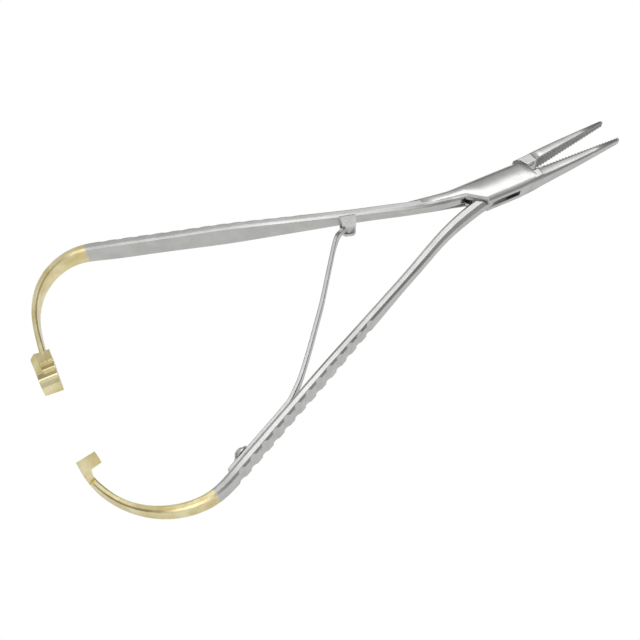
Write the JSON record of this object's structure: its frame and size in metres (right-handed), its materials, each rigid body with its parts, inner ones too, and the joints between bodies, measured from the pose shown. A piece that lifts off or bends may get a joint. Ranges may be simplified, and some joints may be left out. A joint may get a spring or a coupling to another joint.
{
  "type": "surgical needle holder",
  "caption": "Spring-opened palm-grip needle holder with a box lock, serrated jaw inserts, a leaf spring and a hook-and-rack ratchet at the gilded handle ends.",
  "frame": {"origin": "on the pivot axis, at the back flat face of the box lock, where the flush pivot pin ends", "axes": "+X along the instrument to the jaw tips, +Y to the handle with the ratchet rack, +Z out of the front face, along the pivot axis"},
  "size_m": [0.1409, 0.0657, 0.0062],
  "materials": {
    "satin_steel": "satin brushed stainless steel, gold plated on the curved handle ends",
    "hard_metal": "dark serrated hard metal",
    "spring_steel": "ground spring steel",
    "bright_steel": "bright turned steel"
  },
  "bodies": {
    "rack_body": {"rack_half": "satin_steel", "lower_jaw_insert": "hard_metal", "pivot_pin": "satin_steel", "spring_clevis": "bright_steel", "hinge_pin": "bright_steel"},
    "hook_body": {"hook_half": "satin_steel", "upper_jaw_insert": "hard_metal", "leaf_spring": "spring_steel", "spring_screw": "bright_steel"}
  },
  "joints": [
    {"name": "handle_close", "type": "hinge", "parent": "rack_body", "child": "hook_body", "pos_m": [0, 0, 0.0022], "axis": [0, 0, -1], "range_deg": [0, 9.1], "stiffness_Nm_per_rad": 1, "deforming": ["leaf_spring"]}
  ]
}
